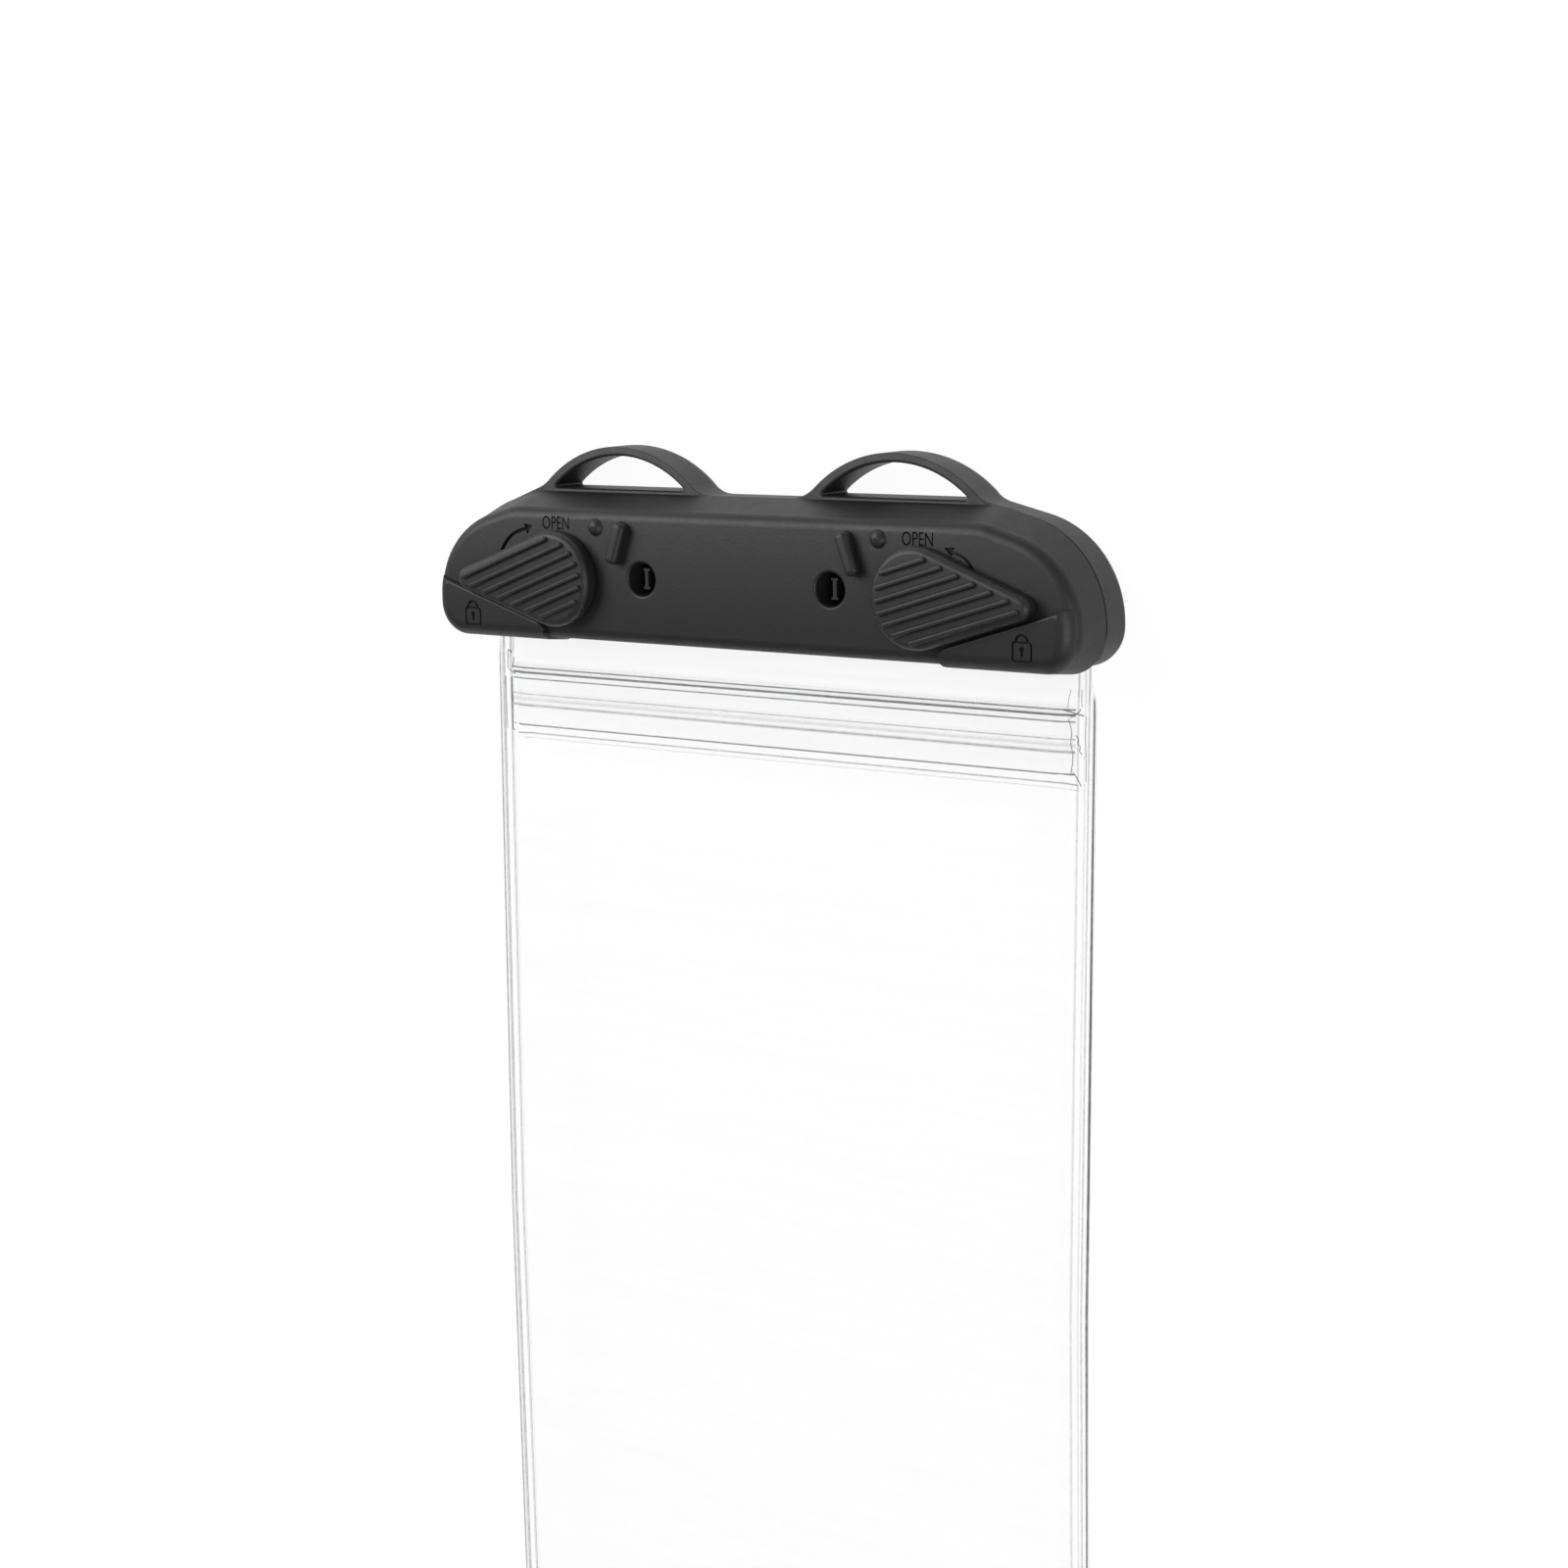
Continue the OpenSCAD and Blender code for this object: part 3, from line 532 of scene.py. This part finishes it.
def cam_way():
    """Cutter behind one lock: the round recess, the slot for the open cam and the neck hole."""
    recess = disc("cam_way", LOCK_X, LOCK_Y, 6.5, -1, 4.2)
    slot = raise_solid("slot", arc(2.9, 0, 3.15, -48, 48, 12) + arc(-2.9, 0, 3.15, 132, 228, 12),
                       [(3.2, 0, 0), (11, 0, 0)])
    place(slot, LOCK_X, LOCK_Y, 0, OPEN_TURN - DROOP + 90)
    combine(recess, slot, "UNION")
    return recess


for side in (1, -1):
    combine(rear_clamp, place(guide_post(), mirror=side), "UNION")
    combine(rear_clamp, loop_opening(side * LOOP_X + LOOP_SHIFT), "DIFFERENCE")
    combine(rear_clamp, place(cam_way(), mirror=side), "DIFFERENCE")
settle(rear_clamp, shell_finish)
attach(rear_clamp, "clamp")
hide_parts("rear_shell")

# Turning locks: one moulding used twice, a drop-shaped plate with a soft rim and seven grip
# ribs on top, over the journal and neck that reach down to the cam.
LEVER_LOW, LEVER_TOP, RIB_TOP = 14.8, 17.5, 18.08
lever_ring = (arc(LOCK_LEN, 0, TIP_R, half_a - 90, 90 - half_a, 18)
              + arc(0, 0, HUB_R, 90 - half_a, 270 + half_a, 60))
ring_span = 2 * HUB_R - 4.1


def turning_lever(name):
    """The lever at its own axis, tip along X."""
    lever = raise_solid(name, lever_ring, [(LEVER_LOW, 0.3, 0), (LEVER_LOW + 0.3, 0, 0)]
                        + round_over(LEVER_TOP, 1.1, 10))
    for k in range(7):
        q = -HUB_R + 1.5 + ring_span * k / 6
        t0 = -sqrt((HUB_R - 1.05) ** 2 - q * q)
        t1 = (HUB_R - 1.1 - q * cos(radians(2 * half_a))) / sin(radians(2 * half_a))
        t2 = min(t1, sqrt(LOCK_LEN ** 2 - q * q) + 0.6)
        w = 0.42
        rib = raise_solid("rib", arc(t2 - w, q, w, -90, 90, 8) + arc(t0 + w, q, w, 90, 270, 8),
                          [(LEVER_TOP - 0.5, -0.06, 0), (LEVER_TOP, 0, 0), (RIB_TOP - 0.24, 0.02, 0),
                           (RIB_TOP - 0.1, 0.09, 0), (RIB_TOP - 0.03, 0.18, 0), (RIB_TOP, 0.3, 0)])
        combine(lever, place(rib, turn=half_a), "UNION")
    combine(lever, disc("journal", 0, 0, 3.5, 7.7, LEVER_LOW + 0.25), "UNION")
    combine(lever, disc("neck", 0, 0, 2.5, 4.05, 11), "UNION")
    combine(lever, bar("tenon", -1.6, 1.6, -1.6, 1.6, 2.95, 5, 0.15), "UNION")
    track = disc("click_track", 0, 0, 13.2, LEVER_LOW - 1, LEVER_LOW + 0.95, 96)
    combine(track, disc("track_core", 0, 0, 9.6, LEVER_LOW - 2, LEVER_LOW + 2, 96), "DIFFERENCE")
    combine(lever, track, "DIFFERENCE")
    combine(lever, disc("pilot", 0, 0, 0.95, 0, PARTING, 24), "DIFFERENCE")
    return lever


lever_finish = black_plastic("lever_plastic", 0.012, 2600, 0.5)
for name, side in (("right", 1), ("left", -1)):
    lever = turning_lever(name + "_grip_lever")
    place(lever, side * LOCK_X, LOCK_Y, 0, -DROOP if side > 0 else 180 + DROOP)
    settle(lever, lever_finish, 36)
    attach(lever, name + "_lock")
    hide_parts(name + "_lever")

# Cams and their screws, behind the clamp: black moulded bars held by plated pan-head screws.
cam_finish = black_plastic("cam_plastic", 0.012, 2200, 0.5)
screw_finish = bpy.data.materials.new("screw_plating")
screw_finish.use_nodes = True
shader = screw_finish.node_tree.nodes["Principled BSDF"]
start = Wire(screw_finish.node_tree)
spot = start.node("ShaderNodeTexCoord", out="Object")
brushed = start.node("ShaderNodeTexNoise", inputs={"Vector": spot, "Scale": 1800.0, "Detail": 3.0})
screw_finish.node_tree.links.new((0.24 + brushed * 0.2).socket, shader.inputs["Roughness"])
plating = start.node("ShaderNodeMix", {"data_type": "RGBA"}, {
    0: brushed, 6: (0.42, 0.43, 0.44, 1), 7: (0.62, 0.63, 0.65, 1)}, out=2)
screw_finish.node_tree.links.new(plating.socket, shader.inputs["Base Color"])
shader.inputs["Metallic"].default_value = 1.0
rubber = black_plastic("seal_rubber", 0.02, 3200, 0.75)
for name, material in (("right_lock_cam", cam_finish), ("left_lock_cam", cam_finish),
                       ("right_cam_screw", screw_finish), ("left_cam_screw", screw_finish),
                       ("front_seal", rubber), ("rear_seal", rubber)):
    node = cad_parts[name]
    node.data.materials.clear()
    node.data.materials.append(material)

# The films: two clear sheets welded along the sides and the closed end, lying loosely over
# the space for the telephone; the top edges run up into the clamp.
FILM_W, FILM_END, FILM_T, SHIFT, WELD = 113.8, 208, 0.3, 2.5, 2.85
seam_in = FILM_W / 2 - WELD
ZIP_LIFT, PILLOW_TOP, PILLOW_END = 1.25, -30, -201.5
SKEW, SKEW_END = 0.0183, -110.0
FRONT_FULL, FILM_TOP, LET_GO = 3.4, 9, -13.2


def ease(t):
    """A smooth step from 0 to 1."""
    t = max(0.0, min(1.0, t))
    return t * t * (3 - 2 * t)


def drift(y):
    """How far the pouch hangs off to one side: it leaves the clamp a little askew."""
    return SHIFT + (0.55 + SKEW * max(y, SKEW_END)) * ease((-10 - y) / 6)


def girth(y):
    """Width left to the film: it is drawn in a little where the clamp holds it."""
    return 1 - 0.009 * (1 - ease((-10 - y) / 6))


def lift(x, y, full):
    """How far a film stands off the weld plane, from its middle line x and the guide line y."""
    d = seam_in - abs(x)
    if d <= 0:
        across = 0
    elif d < 0.8:
        across = ZIP_LIFT * d / 0.8
    else:
        across = ZIP_LIFT + (full - ZIP_LIFT) * ease((d - 0.8) / 9.5)
    if y > LET_GO:
        along = 0
    elif y > -15.4:
        along = ZIP_LIFT * (LET_GO - y) / 2.2
    elif y > PILLOW_TOP:
        along = ZIP_LIFT
    elif y > PILLOW_TOP - 9:
        along = ZIP_LIFT + (full - ZIP_LIFT) * ease((PILLOW_TOP - y) / 9)
    elif y > PILLOW_END + 8:
        along = full
    else:
        along = full * ease((y - PILLOW_END) / 8)
    return min(across, along)


def ridge(x, at, wide):
    """Height of a narrow weld bead at one place across the film."""
    return exp(-((x - at) / wide) ** 2)


def ripple(x, y, full):
    """Slack waves of the loose film, none where it is welded or clamped."""
    free = min(1, max(0, lift(x, y, full) - ZIP_LIFT) / (full - ZIP_LIFT))
    return free * (0.10 * sin(y / 9.3 + 0.8 * sin(x / 31)) + 0.06 * sin(y / 4.1 + x / 40 + 1.3 * sin(x / 17)))


def spread(stops, gap):
    """Positions from stop to stop, no further apart than gap."""
    line = []
    for a, b in zip(stops, stops[1:]):
        n = max(1, ceil((b - a) / gap))
        line += [a + (b - a) * i / n for i in range(n)]
    return line + [stops[-1]]


edge = FILM_W / 2
half_beads = [0, seam_in - 11, seam_in - 0.8, seam_in - 0.3, seam_in, seam_in + 0.2, seam_in + 0.5,
              edge - 1.8, edge - 1.4, edge - 1.15, edge - 0.9, edge - 0.65, edge - 0.35, edge - 0.15, edge]
columns = spread([-v for v in reversed(half_beads)] + half_beads[1:], 2.4)
rows = spread([-FILM_END, -206.8, -204, -202, PILLOW_END, -193, PILLOW_TOP - 9, PILLOW_TOP,
               -15.4, LET_GO, FILM_TOP], 2.0)


def film_sheet(name, way, full):
    """One film as a fine sheet with its waves and weld beads, then given its thickness."""
    bpy.ops.object.select_all(action="DESELECT")
    bpy.ops.mesh.primitive_grid_add(x_subdivisions=len(columns) - 1, y_subdivisions=len(rows) - 1, size=2)
    film = bpy.context.object
    film.name = name
    for vert in film.data.vertices:
        x = columns[round((vert.co.x + 1) / 2 * (len(columns) - 1))]
        y = rows[round((vert.co.y + 1) / 2 * (len(rows) - 1))]
        bead = 0
        if y < LET_GO:
            bead = 0.16 * ridge(abs(x), seam_in + 0.2, 0.22) + 0.1 * ridge(abs(x), edge - 0.9, 0.16)
            bead += 0.14 * ridge(abs(x), edge - 0.1, 0.14) + 0.16 * ridge(y, -202.4, 0.3)
        height = lift(x, y, full) + bead + (ripple(x, y, full) if way > 0 else 0)
        vert.co = (x, y, PARTING + way * height + (0 if way > 0 else -FILM_T))
    shell = film.modifiers.new("thickness", "SOLIDIFY")
    shell.thickness, shell.offset = FILM_T, 1
    bpy.context.view_layer.objects.active = film
    bpy.ops.object.modifier_apply(modifier=shell.name)
    r, top_r = 5, 11
    trim = (arc(edge - r, r - FILM_END, r, -90, 0, 12)
            + arc(edge - top_r, FILM_TOP - top_r, top_r, 0, 90, 20)
            + arc(top_r - edge, FILM_TOP - top_r, top_r, 90, 180, 20)
            + arc(r - edge, r - FILM_END, r, 180, 270, 12))
    combine(film, raise_solid("trim", trim, [(-4, 0, 0), (20, 0, 0)]), "INTERSECT")
    for vert in film.data.vertices:
        vert.co.x = vert.co.x * girth(vert.co.y) + drift(vert.co.y)
    for side in (1, -1):
        combine(film, disc("post_hole", side * POST_X, 0, 2.55, -5, 20), "DIFFERENCE")
        combine(film, disc("lock_hole", side * LOCK_X, LOCK_Y, 3.8 if way > 0 else 6.2, -5, 20), "DIFFERENCE")
    return film


def clear_plastic(name, lines, body, tint):
    """Clear soft plastic, almost nothing where it lies flat, with painted grey lines as the shade
    where an edge or a weld bends the light. A line is (axis, place, half width, strength), in mm
    from the guide line and from the middle of the pouch."""
    material = bpy.data.materials.new(name)
    material.use_nodes = True
    shader = material.node_tree.nodes["Principled BSDF"]
    start = Wire(material.node_tree)
    spot = start.node("ShaderNodeTexCoord", out="Object")
    along = start.node("ShaderNodeSeparateXYZ", inputs={0: spot}, out=1) * 1000 - GUIDE_LINE
    askew = start.math("MAXIMUM", along, SKEW_END) * SKEW
    across = start.node("ShaderNodeSeparateXYZ", inputs={0: spot}, out=0) * 1000 - (SHIFT + 0.55) - askew
    # Each line adds painted shade, grey in colour and less clear, where an edge or a weld bends the light.
    marks = 0
    for axis, at, wide, strength in lines:
        value = across if axis == "x" else along
        marks = marks + start.math("MAXIMUM", 1 - abs(value - at) / wide, 0.0) * strength
    stretched = start.node("ShaderNodeMapping", inputs={"Vector": spot, "Scale": (14.0, 260.0, 60.0)})
    streaks = start.node("ShaderNodeTexNoise", inputs={"Vector": stretched, "Scale": 1.0, "Detail": 4.0})
    broken = start.node("ShaderNodeTexNoise", inputs={"Vector": spot, "Scale": 900.0, "Detail": 2.0})
    marks = start.math("MINIMUM", marks * (0.7 + broken * 0.6), 0.9)
    alpha = start.math("MINIMUM", body + streaks * 0.035 + marks, 1.0)
    colour = start.node("ShaderNodeMix", {"data_type": "RGBA"}, {
        0: start.math("MINIMUM", marks * 2.0, 1.0), 6: (tint, tint * 1.01, tint * 1.02, 1),
        7: (0.16, 0.165, 0.17, 1)}, out=2)
    bump = start.node("ShaderNodeBump", inputs={"Height": streaks, "Strength": 0.25, "Distance": 0.0006})
    material.node_tree.links.new(colour.socket, shader.inputs["Base Color"])
    material.node_tree.links.new(alpha.socket, shader.inputs["Alpha"])
    material.node_tree.links.new((0.12 + streaks * 0.1).socket, shader.inputs["Roughness"])
    material.node_tree.links.new(bump.socket, shader.inputs["Normal"])
    return material


# Painted shade lines on the films: along the cut edges, the weld beads and the closed end, where the clear
# plastic bends the light.
front_finish = clear_plastic("clear_film", (
    ("x", -edge, 0.2, 0.6), ("x", 0.88 - edge, 0.17, 0.8), ("x", 2.35 - edge, 0.17, 0.7),
    ("x", 2.9 - edge, 0.16, 0.5), ("x", edge, 0.3, 0.8), ("x", edge - 0.94, 0.17, 0.5),
    ("x", edge - 1.6, 0.16, 0.3), ("x", edge - 2.72, 0.17, 0.45),
    ("y", -202.4, 0.3, 0.4), ("y", -FILM_END, 0.3, 0.5)), 0.018, 0.85)
rear_finish = clear_plastic("clear_back_film", (
    ("x", -edge, 0.2, 0.3), ("x", edge, 0.2, 0.3), ("y", -FILM_END, 0.3, 0.3)), 0.008, 0.85)
for name, way, full, finish in (("front_film", 1, FRONT_FULL, front_finish),
                                ("rear_film", -1, PARTING - FILM_T, rear_finish)):
    film = film_sheet(name + "_sheet", way, full)
    settle(film, finish, 60)
    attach(film, "clamp")
    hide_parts(name)

# Zip strips: two bands of soft clear plastic welded inside the films. On each track a bead of
# the front band is pressed between two lips of the rear one; both ends are crushed flat.
ZIP_TOP, FRONT_ZIP_END, REAR_ZIP_END, STRIP_T = -15.9, -26.3, -28.8, 0.4
TRACKS = (-17.4, -21.9)
half_zip = seam_in - 0.25
zip_stops = spread([-half_zip, 5 - half_zip, half_zip - 5, half_zip], 0.5)
zip_stops = [x for x in zip_stops if abs(x) > half_zip - 5.1 or abs(x * 0.2 - round(x * 0.2)) < 0.01]


def crush(x):
    """How much of a strip's height is left: all along its run, and little at its ends."""
    return 0.24 + 0.76 * ease((half_zip - abs(x)) / 3.2)


def zip_part(name, profile, middle):
    """A strip drawn out along X; towards the ends it is squashed to its middle height and waves."""
    def where(point, step):
        y, z = profile[point]
        x = zip_stops[step]
        left = crush(x)
        waver = (1 - left) * (0.35 * sin(x * 2.1) + 0.2 * sin(x * 5.3 + y))
        return x + drift(y), y + waver, middle + (z - middle) * left
    return draw_out(name, len(profile), len(zip_stops), where)


def rounded(y0, y1, z0, z1, r):
    """Profile of a strip with rounded corners, as points in Y and Z."""
    return [(y, z) for y, z, _, _ in arc(y1 - r, z0 + r, r, -90, 0, 4) + arc(y1 - r, z1 - r, r, 0, 90, 4)
            + arc(y0 + r, z1 - r, r, 90, 180, 4) + arc(y0 + r, z0 + r, r, 180, 270, 4)]


def settle_zip(strip, finish, replaced=()):
    settle(strip, finish, 50)
    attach(strip, "clamp")
    if replaced:
        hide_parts(*replaced)


# Painted shade lines on the zip bands: along the beads, the lip edges and the lower edges of the bands, where
# the clear plastic bends the light.
front_band_finish = clear_plastic("zip_front_band", (
    ("y", -16.6, 0.18, 0.85), ("y", -17.38, 0.27, 0.95), ("y", -18.38, 0.16, 0.8), ("y", -21.0, 0.16, 0.45),
    ("y", -21.85, 0.4, 0.2), ("y", -22.88, 0.34, 0.45), ("y", FRONT_ZIP_END + 0.1, 0.2, 0.8)), 0.03, 0.8)
rear_band_finish = clear_plastic("zip_rear_band", (
    ("y", REAR_ZIP_END + 0.9, 0.17, 0.6), ("y", REAR_ZIP_END + 0.1, 0.13, 0.25)), 0.012, 0.8)
bead_finish = clear_plastic("zip_bead", (), 0.05, 0.7)
lip_finish = clear_plastic("zip_lip", (), 0.03, 0.8)
front_z, rear_z = PARTING + ZIP_LIFT, PARTING - ZIP_LIFT
profile = rounded(FRONT_ZIP_END, ZIP_TOP, front_z - STRIP_T, front_z, 0.15)
band = zip_part("front_zip_band", profile, PARTING + 0.3)
settle_zip(band, front_band_finish, ["front_zip"])
profile = rounded(REAR_ZIP_END, ZIP_TOP, rear_z, rear_z + STRIP_T, 0.15)
band = zip_part("rear_zip_band", profile, PARTING - 0.3)
settle_zip(band, rear_band_finish, ["rear_zip"])
for number, track in enumerate(TRACKS):
    stem = rounded(track - 0.2, track + 0.2, PARTING - 0.1, front_z - STRIP_T + 0.05, 0.08)
    head = rounded(track - 0.36, track + 0.36, PARTING - 0.38, PARTING + 0.16, 0.22)
    bead = zip_part("zip_bead_%d" % (number + 1), head, PARTING + 0.1)
    combine(bead, zip_part("stem", stem, PARTING + 0.15), "UNION")
    settle_zip(bead, bead_finish)
    for side in (-1, 1):
        y = track + side * 0.95
        lip = rounded(y - 0.19, y + 0.19, rear_z + STRIP_T - 0.05, front_z - STRIP_T - 0.06, 0.12)
        name = "zip_lip_%d_%s" % (number + 1, "low" if side < 0 else "high")
        settle_zip(zip_part(name, lip, PARTING), lip_finish)

# Crushed weld ends: where the zip runs into the side welds the tool has pressed the plastic
# into small folds, fine creases on the film whose dark grey is painted shade where the folds bend the light.
crease_shade_finish = clear_plastic("weld_crease", (), 0.55, 0.2)


def crease(points, r):
    """A fine fold through points in mm, (x, y) on the upper film, drawn as a thin closed tube."""
    curve = bpy.data.curves.new("crease", "CURVE")
    curve.dimensions, curve.bevel_depth, curve.bevel_resolution, curve.use_fill_caps = "3D", r, 2, True
    curve.resolution_u = 6
    line = curve.splines.new("NURBS")
    line.points.add(len(points) - 1)
    for target, (x, y) in zip(line.points, points):
        target.co = (x, y, PARTING + FILM_T + 0.12 + lift(x - drift(y), y, FRONT_FULL), 1)
    line.use_endpoint_u, line.order_u = True, 3
    fold = bpy.data.objects.new("crease", curve)
    bpy.context.scene.collection.objects.link(fold)
    return fold


def creases(name, folds):
    """Several creases as one piece."""
    made = [crease(points, r) for points, r in folds]
    bpy.ops.object.select_all(action="DESELECT")
    for fold in made:
        fold.select_set(True)
    bpy.context.view_layer.objects.active = made[0]
    bpy.ops.object.convert(target="MESH")
    bpy.ops.object.join()
    piece = bpy.context.object
    piece.name = name
    settle(piece, crease_shade_finish, 60)
    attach(piece, "clamp")


creases("left_weld_creases", (
    ([(-52.1, -13.9), (-51.5, -14.0), (-50.9, -14.2)], 0.11),
    ([(-52.15, -13.9), (-52.2, -15.6), (-52.3, -17.1), (-51.4, -17.3), (-50.6, -17.2)], 0.07),
    ([(-50.1, -14.9), (-49.9, -15.7), (-50.2, -16.6)], 0.09),
    ([(-50.6, -17.2), (-50.2, -17.5), (-49.6, -17.6)], 0.1),
    ([(-50.8, -20.7), (-50.3, -21.6), (-50.4, -22.4)], 0.1),
    ([(-51.2, -18.3), (-51.3, -22), (-51.6, -26.9)], 0.07),
    ([(-50.5, -18.2), (-50.7, -22.5), (-50.9, -26.8)], 0.08),
    ([(-52.8, -18.3), (-52.9, -22), (-52.8, -27.2)], 0.06),
    ([(-50.9, -26.8), (-50.6, -27.2), (-50.2, -27.0)], 0.1)))
creases("right_weld_creases", (
    ([(55.2, -16.5), (56.1, -16.7), (57.0, -17.2), (57.9, -17.4)], 0.11),
    ([(56.2, -17.6), (56.9, -17.2), (57.4, -16.4)], 0.08),
    ([(56.6, -20.3), (57.2, -20.9), (56.7, -21.5), (57.4, -22.0), (57.0, -22.7), (57.6, -23.1)], 0.07),
    ([(56.0, -17.8), (56.35, -19.6), (56.1, -21.4), (56.45, -23.5), (56.1, -26.1)], 0.08),
    ([(56.3, -25.8), (56.8, -26.6), (57.4, -27.9)], 0.08),
    ([(55.9, -13.6), (55.85, -15), (55.9, -16.2)], 0.05),
    ([(57.6, -13.5), (57.5, -15), (57.6, -16.1)], 0.06),
    ([(58.3, -17.5), (58.1, -20), (58.3, -23.5), (58.2, -27)], 0.05)))
